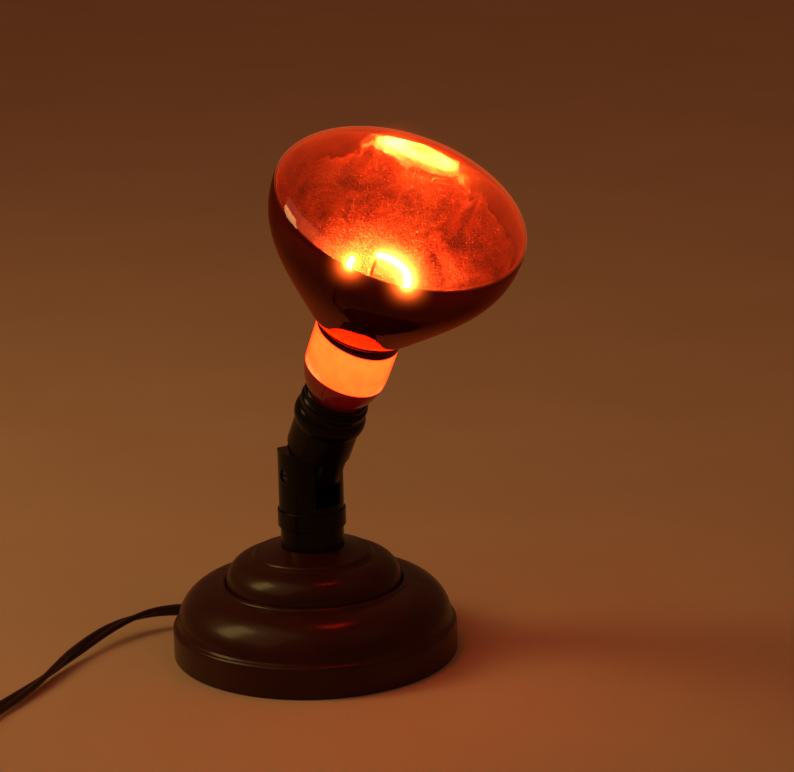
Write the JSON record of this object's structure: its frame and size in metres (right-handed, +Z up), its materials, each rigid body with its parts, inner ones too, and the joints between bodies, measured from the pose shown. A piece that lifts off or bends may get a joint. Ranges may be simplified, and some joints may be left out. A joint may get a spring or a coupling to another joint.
{
  "type": "table-top infrared heat lamp",
  "caption": "Table-top infrared heat lamp: stepped round weighted base, short moulded stem with a fork, tilting screw-base lamp holder and a large ruby glass reflector bulb.",
  "frame": {"origin": "centre of the round base at its underside, on the surface it stands on", "axes": "+Z up; the lamp holder tilts about X and leans towards -Y at rest; the cord leaves the back of the base and runs towards -X"},
  "size_m": [0.3383, 0.2252, 0.2831],
  "materials": {
    "enamel": "smooth brown baked enamel, low gloss",
    "iron": "rough as-cast",
    "plate_steel": "zinc plated",
    "fastener_steel": "plated",
    "dark_screw": "blackened",
    "felt": "dense wool felt",
    "rubber": "matte",
    "cord": "ribbed twin cord, slightly glossy",
    "core": "insulated core",
    "bakelite": "polished phenolic moulding",
    "porcelain": "white glaze",
    "brass": "rolled brass",
    "ruby_glass": "clear ruby red",
    "mirror_layer": "aged vacuum-coated aluminium",
    "aluminium": "bright",
    "clear_glass": "clear",
    "wire": "drawn wire",
    "hot_wire": "glowing tungsten",
    "cap_metal": "rolled sheet",
    "black_glass": "fused black glass",
    "solder": "solder"
  },
  "bodies": {
    "base": {"base_shell": "enamel", "ballast_weight": "iron", "bottom_plate": "plate_steel", "plate_screws": "fastener_steel", "felt_pad": "felt", "lamp_pipe": "brass", "lower_nut": "fastener_steel", "lower_washer": "fastener_steel", "cord_grommet": "rubber", "power_cord": "cord", "plug_body": "bakelite", "plug_blades": "brass", "supply_leads": "core", "stem_foot": "bakelite", "foot_nut": "fastener_steel", "pan_washer": "fastener_steel", "pan_spring_washer": "fastener_steel", "pan_nut": "fastener_steel"},
    "fork": {"yoke": "bakelite", "swivel_ring": "bakelite", "pivot_screws": "dark_screw", "friction_washers": "fastener_steel"},
    "holder": {"socket_body": "bakelite", "socket_collar": "bakelite", "porcelain_insert": "porcelain", "screw_shell": "brass", "centre_contact": "brass", "insert_screws": "fastener_steel", "terminal_screws": "brass", "socket_leads": "core"},
    "bulb": {"bulb_glass": "ruby_glass", "reflector_coating": "mirror_layer", "heat_shield": "aluminium", "glass_mount": "clear_glass", "lead_wires": "wire", "filament_supports": "wire", "filament": "hot_wire", "bulb_cap": "cap_metal", "cap_insulator": "black_glass", "cap_contact": "solder"}
  },
  "joints": [
    {"name": "fork_pan", "type": "hinge", "parent": "base", "child": "fork", "pos_m": [0, 0, 0.078], "axis": [0, 0, 1], "range_deg": [-170, 170]},
    {"name": "head_tilt", "type": "hinge", "parent": "fork", "child": "holder", "pos_m": [0, 0, 0.0985], "axis": [1, 0, 0], "range_deg": [-109.8, 50.2]},
    {"name": "bulb_unscrew", "type": "slide", "parent": "holder", "child": "bulb", "axis": [0, -0.497, 0.8678], "range_m": [0, 0.032]}
  ]
}
